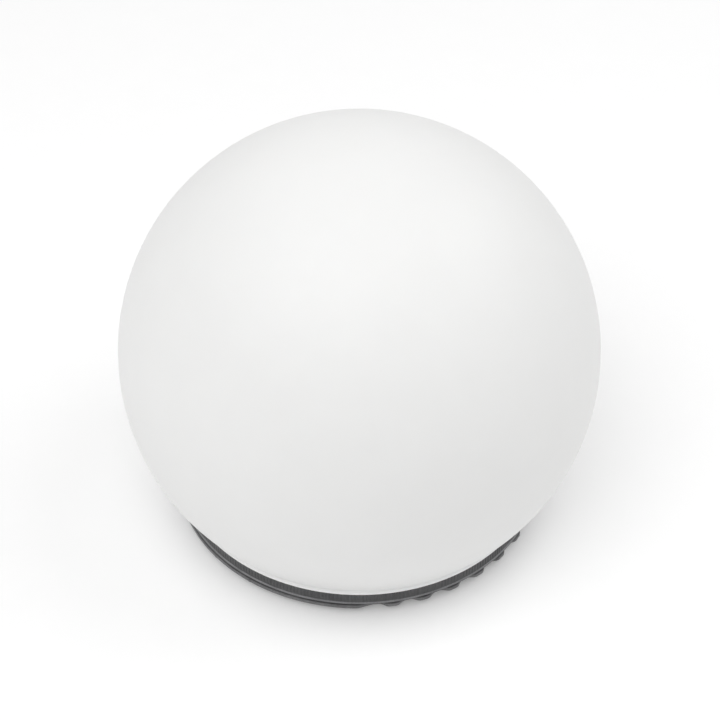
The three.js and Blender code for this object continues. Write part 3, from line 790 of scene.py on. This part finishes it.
def cap_dish():
    """The cap behind its flange: foot ring, coned underside, recessed middle with a lip round the button,
    threaded skirt, and the wall that holds the button's retainer."""
    outline = [
        (HOLE_R, CAP_UNDERSIDE_Z - HOLE_LIP),
        (HOLE_R + 1.4, CAP_UNDERSIDE_Z - HOLE_LIP),
        (HOLE_R + 1.9, CAP_UNDERSIDE_Z),
        (FOOT_INNER_R - FOOT_SLOPE, CAP_UNDERSIDE_Z),
        (FOOT_INNER_R, 0),
        (FOOT_OUTER_R, 0),
        (FOOT_OUTER_R + FOOT_SLOPE, CONE_FOOT_Z),
        (CONE_R, FLANGE_Z + 0.2),
        (CONE_R, FLANGE_TOP_Z - 0.03),
        (SKIRT_R, FLANGE_TOP_Z - 0.03),
        (SKIRT_R, SKIRT_TOP_Z - 0.5),
        (SKIRT_R - 0.5, SKIRT_TOP_Z),
        (SKIRT_BORE_R, SKIRT_TOP_Z),
        (SKIRT_BORE_R, CAP_FLOOR_Z),
        (RETAINER_WALL_R, CAP_FLOOR_Z),
        (RETAINER_WALL_R, RETAINER_WALL_TOP_Z),
        (RETAINER_WALL_BORE_R, RETAINER_WALL_TOP_Z),
        (RETAINER_WALL_BORE_R, CAP_FLOOR_Z),
        (HOLE_R, CAP_FLOOR_Z),
    ]
    return rounded(turned(outline, 192), 0.22)


def cap_marks():
    """The small moulded marks: four ticks on the flange's plain arcs, and rays round the button."""
    marks = []
    half = MARK_HALF_WIDTH
    for azimuth in (a + opposite for a in TICK_AZIMUTHS for opposite in (0, math.pi)):
        tick = block((FLANGE_R - 1.2, -half, FLANGE_Z + 0.15), (FLANGE_R + 0.12, half, FLANGE_TOP_Z - 0.15))
        marks.append(swung(rounded(tick, 0.1), azimuth))
    for k in range(RAYS):
        ray = block((14, -half, CAP_UNDERSIDE_Z - 0.25), (FOOT_INNER_R - 3, half, CAP_UNDERSIDE_Z + 0.3))
        marks.append(swung(rounded(ray, 0.12), (k + 0.5) * TURN / RAYS))
    return marks


def make_cap():
    """The screw cap: dish, grip flange, thread ridges, floor ribs and moulded marks. Its thread ridges lie
    midway between the collar's."""
    lead = sizes().thread_lead / MM
    behind = COLLAR_THREAD_Z + lead / 6 - CAP_THREAD_Z
    start = -behind * TURN / lead
    ridges = [thread_ridge(SKIRT_R - 0.3, CAP_THREAD_TIP_R, a + start, CAP_THREAD_Z) for a in THIRDS]
    ribs = []
    half = FLOOR_RIB_HALF_WIDTH
    for k in range(FLOOR_RIBS):
        rib = block(
            (RETAINER_WALL_R - 0.2, -half, CAP_FLOOR_Z - 0.5), (SKIRT_BORE_R + 0.5, half, CAP_FLOOR_Z + 1)
        )
        ribs.append(swung(rounded(rib, 0.2), k * TURN / FLOOR_RIBS))
    bm = joined(cap_dish(), grip_flange(), *ridges, *ribs, *cap_marks())
    finished("cap_moulding", bm, "cap", "dark_grey", [cap_abs()], "screw_cap")


def make_seals():
    """The gasket between globe and collar, and the seal ring that goes down with the cap."""
    rubber = [silicone_rubber()]
    gasket = rubber_ring(GASKET_R, GASKET_THICKNESS, GASKET_Z)
    finished("gasket_ring", gasket, "housing", "black_rubber", rubber, "globe_gasket")
    seal = rubber_ring(SEAL_R, SEAL_THICKNESS, SEAL_Z)
    finished("seal_ring", seal, "seal", "black_rubber", rubber, "cap_seal")


def make_button():
    """The button: a rubber key with a raised ring and a dimple for the fingertip, on a stem that reaches the
    switch. The rubber rim round it and the retainer that clamps the rim stay with the cap."""
    outline = [
        (0, BUTTON_Z + 0.35),
        (1.4, BUTTON_Z + 0.32),
        (2.8, BUTTON_Z + 0.2),
        (3.4, BUTTON_Z),
        (4.3, BUTTON_Z),
        (4.8, BUTTON_Z + 0.25),
        (5.4, BUTTON_Z + 0.35),
        (BUTTON_R - 0.2, BUTTON_Z + 0.65),
        (BUTTON_R, BUTTON_Z + 1.2),
        (BUTTON_R, BUTTON_PAD_TOP_Z),
        (STEM_R, BUTTON_PAD_TOP_Z),
        (STEM_R, STEM_TOP_Z),
        (0, STEM_TOP_Z),
    ]
    rubber = [silicone_rubber()]
    finished("button_key", rounded(turned(outline, 64), 0.2), "button", "black_rubber", rubber, "button")
    rim_r = highest("boot_rim", "x")
    rim = rounded(ring(RIM_BORE_R, rim_r, lowest("boot_rim"), highest("boot_rim")), 0.25)
    finished("rim_ring", rim, "cap", "black_rubber", rubber, "boot_rim")
    low, high = lowest("button_retainer"), highest("button_retainer")
    clamp = rounded(ring(RETAINER_BORE_R, rim_r, low, high), 0.2)
    finished("retainer_ring", clamp, "cap", "black_plastic", [black_polypropylene()], "button_retainer")


def make_cells():
    """Three cells: nickel ends, a shrink film that laps both ends, and a coloured band at the plus end."""
    y_from = lowest("battery_cell_1", "y")
    tip = highest("battery_cell_1", "y") - y_from
    z = (lowest("battery_cell_1") + highest("battery_cell_1")) / 2
    shoulder = tip - CELL_NUB
    outline = [
        (0, 0.15),
        (3.6, 0.15),
        (3.9, 0),
        (CELL_R - 0.45, 0),
        (CELL_R - 0.1, 0.25),
        (CELL_R, 0.6),
        (CELL_R, 1.4),
        (CELL_R, shoulder - CELL_BAND),
        (CELL_R, shoulder - 0.6),
        (CELL_R - 0.25, shoulder - 0.1),
        (CELL_R - 1.2, shoulder),
        (1.95, shoulder),
        (1.9, tip - 0.15),
        (1.6, tip),
        (0, tip),
    ]
    materials = [
        nickel_plated_steel(), shrink_film("shrink film", finishes().film),
        shrink_film("shrink film band", finishes().film_band),
    ]
    film_r = CELL_R - CELL_LAP
    band_z = shoulder - CELL_BAND
    for k, azimuth in enumerate(THIRDS, 1):
        bm = turned(outline, 48)
        paint(bm, 1, lambda middle: middle.xy.length > film_r and middle.z < tip - 1)
        paint(bm, 2, lambda middle: middle.xy.length > film_r and band_z < middle.z < tip - 1)
        moved(bm, Matrix.Rotation(-math.pi / 2, 4, "X"))
        shifted(bm, BAY_RADIUS, y_from, z)
        finished(f"cell_{k}", swung(bm, azimuth), "housing", "cell_jacket", materials, f"battery_cell_{k}")


def make_leds():
    """Six LEDs: a white package with a shallow cup of phosphor and a metal tab on either side."""
    low = lowest("led_1")
    materials = [white_resin(), phosphor_silicone(), nickel_plated_steel()]
    for k in range(6):
        body = block((10.2, -2.5, low), (14.8, 2.5, highest("led_1")))
        top = max(body.faces, key=lambda f: f.calc_center_median().z)
        bmesh.ops.inset_region(body, faces=[top], thickness=0.55)
        cup = bmesh.ops.extrude_face_region(body, geom=[top])["geom"]
        bottom = next(g for g in cup if isinstance(g, bmesh.types.BMFace))
        bmesh.ops.delete(body, geom=[top], context="FACES_ONLY")
        bmesh.ops.translate(body, verts=bottom.verts, vec=(0, 0, -0.3))
        bottom.material_index = 1
        tabs = [block((x - 0.3, -1.6, low), (x + 0.3, 1.6, low + 0.5)) for x in (10.3, 14.7)]
        tabs = [paint(rounded(tab, 0.08), 2) for tab in tabs]
        bm = swung(joined(body, *tabs), k * TURN / 6)
        finished(f"led_body_{k + 1}", bm, "housing", "led_yellow", materials, f"led_{k + 1}")


def make_chip():
    """The controller chip, with four gull-wing leads on either side."""
    low = lowest("controller_chip")
    chip = rounded(block((-2.1, -2.4, low + 0.15), (2.1, 2.4, highest("controller_chip"))), 0.15)
    leads = []
    for side in (-1, 1):
        for y in (-1.9, -0.63, 0.63, 1.9):
            for reach, height in ((3.0, 0.2), (2.3, 0.7)):
                inner, outer = sorted((side * 2.0, side * reach))
                leads.append(paint(block((inner, y - 0.2, low), (outer, y + 0.2, low + height)), 1))
    materials = [epoxy_resin(), nickel_plated_steel()]
    finished("chip", joined(chip, *leads), "housing", "black_plastic", materials, "controller_chip")


def make_capacitor():
    """The capacitor: a can with a rolled groove, on a black foot."""
    low, high = lowest("capacitor"), highest("capacitor")
    foot = paint(rounded(block((-2.45, -2.45, 0), (2.45, 2.45, 0.6)), 0.25), 1)
    outline = [
        (0, 0.5), (2.1, 0.5), (2.1, 0.9), (1.95, 1.1), (2.1, 1.3), (2.1, high - low - 0.3),
        (1.8, high - low), (0, high - low),
    ]
    can = rounded(turned(outline, 40), 0.1)
    middle = (lowest("capacitor", "x") + highest("capacitor", "x")) / 2
    bm = shifted(joined(can, foot), middle, 0, low)
    materials = [nickel_plated_steel(), epoxy_resin()]
    finished("capacitor_can", bm, "housing", "nickel", materials, "capacitor")


def make_resistors():
    """Two chip resistors, each with a plated end on either side."""
    low, high = lowest("resistor_1"), highest("resistor_1")
    materials = [epoxy_resin(), nickel_plated_steel()]
    for k in (1, 2):
        body = rounded(block((18.2, -1.0, low + 0.03), (19.8, 1.0, high)), 0.05)
        ends = [block((18.2, y, low), (19.8, y + 0.6, high - 0.03)) for y in (-1.6, 1.0)]
        ends = [paint(rounded(end, 0.06), 1) for end in ends]
        bm = swung(joined(body, *ends), THIRDS[k])
        finished(f"resistor_body_{k}", bm, "housing", "black_plastic", materials, f"resistor_{k}")


def screw(head_r, shank_r, seat, head_height, tip):
    """A pan-head screw that points down Z: rolled thread rings on the shank, and a six-lobed recess."""
    rings = []
    z = tip + shank_r
    while z + SCREW_PITCH < seat - 0.6:
        rings += [(shank_r, z), (shank_r - 0.14, z + SCREW_PITCH / 2)]
        z += SCREW_PITCH
    outline = [
        (0, tip),
        (shank_r * 0.5, tip + shank_r * 0.4),
        *rings,
        (shank_r, seat),
        (head_r, seat),
        (head_r, seat + head_height * 0.5),
        (head_r * 0.9, seat + head_height * 0.85),
        (head_r * 0.62, seat + head_height),
    ]
    bm = turned(outline, 36)
    bmesh.ops.holes_fill(bm, edges=[e for e in bm.edges if e.is_boundary], sides=0)
    bmesh.ops.recalc_face_normals(bm, faces=bm.faces)
    face = max(bm.faces, key=lambda f: f.calc_center_median().z)
    bmesh.ops.inset_region(bm, faces=[face], thickness=head_r * 0.1)
    for vert in face.verts:
        azimuth = math.atan2(vert.co.y, vert.co.x)
        vert.co.xy = vert.co.xy.normalized() * head_r * (0.42 + 0.08 * math.cos(6 * azimuth))
    pit = bmesh.ops.extrude_face_region(bm, geom=[face])["geom"]
    bmesh.ops.delete(bm, geom=[face], context="FACES_ONLY")
    lowered = [v for v in pit if isinstance(v, bmesh.types.BMVert)]
    bmesh.ops.translate(bm, verts=lowered, vec=(0, 0, -head_height * 0.55))
    return bm


def make_screws():
    """All the screws: clamp, cover and board screws from above, and the two switch screws from below."""
    steel = [zinc_plated_steel()]
    kinds = [  # name, radius of head and shank, height of head, distance from the axis, azimuths
        ("clamp", 2.8, 1.5, 1.8, CLAMP_RADIUS, THIRDS),
        ("cover", 2.2, 1.0, 1.4, COVER_SCREW_RADIUS, THIRDS),
        ("board", 1.9, 0.7, 1.2, BOARD_SCREW_RADIUS, BETWEEN_THIRDS),
    ]
    for name, head_r, shank_r, head_height, radius, azimuths in kinds:
        for k, azimuth in enumerate(azimuths, 1):
            node = f"{name}_screw_{k}"
            bm = screw(head_r, shank_r, highest(node) - head_height, head_height, lowest(node))
            bm = swung(shifted(bm, radius), azimuth)
            finished(f"{name}_fastener_{k}", bm, "housing", "steel", steel, node)
    for k in (1, 2):
        node = f"switch_screw_{k}"
        low, high = lowest(node), highest(node)
        head_height = 1.2
        bm = screw(1.4, 0.65, -low - head_height, head_height, -high)
        moved(bm, Matrix.Rotation(math.pi, 4, "X"))
        shifted(bm, 0, (lowest(node, "y") + highest(node, "y")) / 2)
        finished(f"switch_fastener_{k}", bm, "housing", "steel", steel, node)


def finish_frame_nodes():
    """Gives each piece that keeps its own shape the finish of its real material."""
    steel, board = nickel_plated_steel(), solder_mask()
    red, black = insulated("red PVC", "#b2231d"), insulated("black PVC", "#19191a")
    finish = {
        "deck": black_polypropylene(),
        "ballast_ring": zinc_plated_steel(),
        "light_board": board,
        "light_cover": clear_polycarbonate(),
        "switch_board": board,
        "switch_body": epoxy_resin(),
        "switch_plunger": white_acetal(),
        "red_lead": red,
        "black_lead": black,
        "link_lead_1": black,
        "link_lead_2": black,
        "switch_lead_1": red,
        "switch_lead_2": black,
    }
    for k in (1, 2, 3):
        for name in ("contact_spring", "plus_contact", "minus_contact"):
            finish[f"{name}_{k}"] = steel
    for name, material in finish.items():
        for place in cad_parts[name].material_slots:
            place.material = material


# ---- the stage ----

VIEW_AZIMUTH = math.radians(44.8)
VIEW_ELEVATION = math.radians(42)
VIEW_ROLL = math.radians(0.61)
LENS = 85  # millimetres
CAMERA_PLACE = (0.00018, -0.00303, 0.5331)  # from the globe's middle: to its right, up and back, in metres
SURROUND_STRENGTH = 0.55
FLOOR_REACH = 6  # metres


def toward(azimuth, elevation):
    """The direction from the object to a viewer at an azimuth and elevation."""
    flat = math.cos(elevation)
    return Vector((math.sin(azimuth) * flat, -math.cos(azimuth) * flat, math.sin(elevation)))


def facing(azimuth, elevation, roll=0.0):
    """The rotation of a camera or lamp that looks back along a direction."""
    back = toward(azimuth, elevation)
    right = Vector((math.cos(azimuth), math.sin(azimuth), 0))
    up = back.cross(right)
    tilted = right * math.cos(roll) + up * math.sin(roll)
    return Matrix((tilted, back.cross(tilted), back)).transposed().to_4x4()


def make_camera(centre):
    """An 85 mm camera half a metre from the globe, looking down at it, aimed 3 mm below its middle."""
    data = bpy.data.cameras.new("camera")
    data.lens = LENS
    camera = bpy.data.objects.new("camera", data)
    bpy.context.scene.collection.objects.link(camera)
    turn = facing(VIEW_AZIMUTH, VIEW_ELEVATION, VIEW_ROLL)
    place = centre + turn.to_3x3() @ Vector(CAMERA_PLACE)
    camera.matrix_world = Matrix.Translation(place) @ turn
    bpy.context.scene.camera = camera


def make_softbox(name, centre, azimuth, elevation, distance, size, watts):
    """A round softbox that faces the globe, from an azimuth to the right of the camera's."""
    data = bpy.data.lights.new(name, "AREA")
    data.shape = "DISK"
    data.size = size
    data.energy = watts
    lamp = bpy.data.objects.new(name, data)
    bpy.context.scene.collection.objects.link(lamp)
    azimuth, elevation = VIEW_AZIMUTH + math.radians(azimuth), math.radians(elevation)
    place = centre + toward(azimuth, elevation) * distance
    lamp.matrix_world = Matrix.Translation(place) @ facing(azimuth, elevation)


def make_floor():
    """A pale floor just below the cap. The light stands on its cap, so the floor goes down with the cap when
    it is unscrewed."""
    bm = bmesh.new()
    just_below = Matrix.Translation((0, 0, -0.05 * MM))
    bmesh.ops.create_grid(bm, x_segments=1, y_segments=1, size=FLOOR_REACH, matrix=just_below)
    mesh = bpy.data.meshes.new("floor")
    bm.to_mesh(mesh)
    bm.free()
    mesh.materials.append(studio_floor())
    floor = bpy.data.objects.new("floor", mesh)
    bpy.context.scene.collection.objects.link(floor)
    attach(floor, "cap")


def make_surround():
    """An even white surround."""
    world = bpy.data.worlds.new("white surround")
    world.use_nodes = True
    background = world.node_tree.nodes["Background"]
    background.inputs["Color"].default_value = (1, 1, 1, 1)
    background.inputs["Strength"].default_value = SURROUND_STRENGTH
    bpy.context.scene.world = world


def make_stage():
    """The floor, the surround, a large softbox up to the left, a weaker one to the right, and the camera."""
    bpy.context.scene.view_settings.view_transform = "Standard"
    make_floor()
    make_surround()
    centre = Vector((0, 0, GLOBE_TOP_Z * MM - sizes().globe_radius))
    make_softbox("key softbox", centre, azimuth=-44, elevation=62, distance=1.2, size=1.2, watts=7.8)
    make_softbox("fill softbox", centre, azimuth=103, elevation=50, distance=1.2, size=1.0, watts=3.9)
    make_camera(centre)


# ---- add-on ----


class POOL_LIGHT_OT_globe(bpy.types.Operator):
    """Model the opal globe"""

    bl_idname = "pool_light.globe"
    bl_label = "Globe"
    bl_options = {"REGISTER", "UNDO"}

    def execute(self, context):
        make_globe()
        return {"FINISHED"}


class POOL_LIGHT_OT_collar(bpy.types.Operator):
    """Model the collar with its ribbed band"""

    bl_idname = "pool_light.collar"
    bl_label = "Collar"
    bl_options = {"REGISTER", "UNDO"}

    def execute(self, context):
        make_collar()
        return {"FINISHED"}


class POOL_LIGHT_OT_cap(bpy.types.Operator):
    """Model the screw cap with its grip teeth"""

    bl_idname = "pool_light.cap"
    bl_label = "Screw Cap"
    bl_options = {"REGISTER", "UNDO"}

    def execute(self, context):
        make_cap()
        return {"FINISHED"}


class POOL_LIGHT_OT_seals(bpy.types.Operator):
    """Model the gasket and the seal ring"""

    bl_idname = "pool_light.seals"
    bl_label = "Seals"
    bl_options = {"REGISTER", "UNDO"}

    def execute(self, context):
        make_seals()
        return {"FINISHED"}


class POOL_LIGHT_OT_button(bpy.types.Operator):
    """Model the button with its rim and retainer"""

    bl_idname = "pool_light.button"
    bl_label = "Button"
    bl_options = {"REGISTER", "UNDO"}

    def execute(self, context):
        make_button()
        return {"FINISHED"}


class POOL_LIGHT_OT_cells(bpy.types.Operator):
    """Model the three battery cells"""

    bl_idname = "pool_light.cells"
    bl_label = "Battery Cells"
    bl_options = {"REGISTER", "UNDO"}

    def execute(self, context):
        make_cells()
        return {"FINISHED"}


class POOL_LIGHT_OT_leds(bpy.types.Operator):
    """Model the six LEDs"""

    bl_idname = "pool_light.leds"
    bl_label = "LEDs"
    bl_options = {"REGISTER", "UNDO"}

    def execute(self, context):
        make_leds()
        return {"FINISHED"}


class POOL_LIGHT_OT_board_parts(bpy.types.Operator):
    """Model the chip, capacitor and resistors"""

    bl_idname = "pool_light.board_parts"
    bl_label = "Board Parts"
    bl_options = {"REGISTER", "UNDO"}

    def execute(self, context):
        make_chip()
        make_capacitor()
        make_resistors()
        return {"FINISHED"}


class POOL_LIGHT_OT_screws(bpy.types.Operator):
    """Model every screw"""

    bl_idname = "pool_light.screws"
    bl_label = "Screws"
    bl_options = {"REGISTER", "UNDO"}

    def execute(self, context):
        make_screws()
        return {"FINISHED"}


class POOL_LIGHT_OT_frame_finishes(bpy.types.Operator):
    """Give the pieces that keep their shape their materials"""

    bl_idname = "pool_light.frame_finishes"
    bl_label = "Inner Finishes"
    bl_options = {"REGISTER", "UNDO"}

    def execute(self, context):
        finish_frame_nodes()
        return {"FINISHED"}


class POOL_LIGHT_OT_stage(bpy.types.Operator):
    """Set up the floor, the lights and the camera"""

    bl_idname = "pool_light.stage"
    bl_label = "Stage"
    bl_options = {"REGISTER", "UNDO"}

    def execute(self, context):
        make_stage()
        return {"FINISHED"}


OPERATORS = [
    POOL_LIGHT_OT_stage, POOL_LIGHT_OT_globe, POOL_LIGHT_OT_collar, POOL_LIGHT_OT_cap, POOL_LIGHT_OT_seals,
    POOL_LIGHT_OT_button, POOL_LIGHT_OT_cells, POOL_LIGHT_OT_leds, POOL_LIGHT_OT_board_parts,
    POOL_LIGHT_OT_screws, POOL_LIGHT_OT_frame_finishes,
]


class POOL_LIGHT_PT_panel(bpy.types.Panel):
    """Lists the sizes, the finishes and the pieces of the pool light"""

    bl_label = "Pool Light"
    bl_space_type = "VIEW_3D"
    bl_region_type = "UI"
    bl_category = "Pool Light"

    def draw(self, context):
        layout = self.layout
        for group in (context.scene.pool_light_sizes, context.scene.pool_light_finishes):
            column = layout.column(align=True)
            for name in type(group).__annotations__:
                column.prop(group, name)
        for operator in OPERATORS:
            layout.operator(operator.bl_idname)


CLASSES = [PoolLightSizes, PoolLightFinishes, *OPERATORS, POOL_LIGHT_PT_panel]


def register():
    """Registers the classes and gives each scene its sizes and finishes."""
    for cls in CLASSES:
        bpy.utils.register_class(cls)
    bpy.types.Scene.pool_light_sizes = PointerProperty(type=PoolLightSizes)
    bpy.types.Scene.pool_light_finishes = PointerProperty(type=PoolLightFinishes)


def unregister():
    """Takes away what register added."""
    del bpy.types.Scene.pool_light_finishes
    del bpy.types.Scene.pool_light_sizes
    for cls in reversed(CLASSES):
        bpy.utils.unregister_class(cls)


def main():
    """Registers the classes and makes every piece."""
    register()
    bpy.ops.pool_light.stage()
    bpy.ops.pool_light.globe()
    bpy.ops.pool_light.collar()
    bpy.ops.pool_light.cap()
    bpy.ops.pool_light.seals()
    bpy.ops.pool_light.button()
    bpy.ops.pool_light.cells()
    bpy.ops.pool_light.leds()
    bpy.ops.pool_light.board_parts()
    bpy.ops.pool_light.screws()
    bpy.ops.pool_light.frame_finishes()


if __name__ == "__main__":
    main()
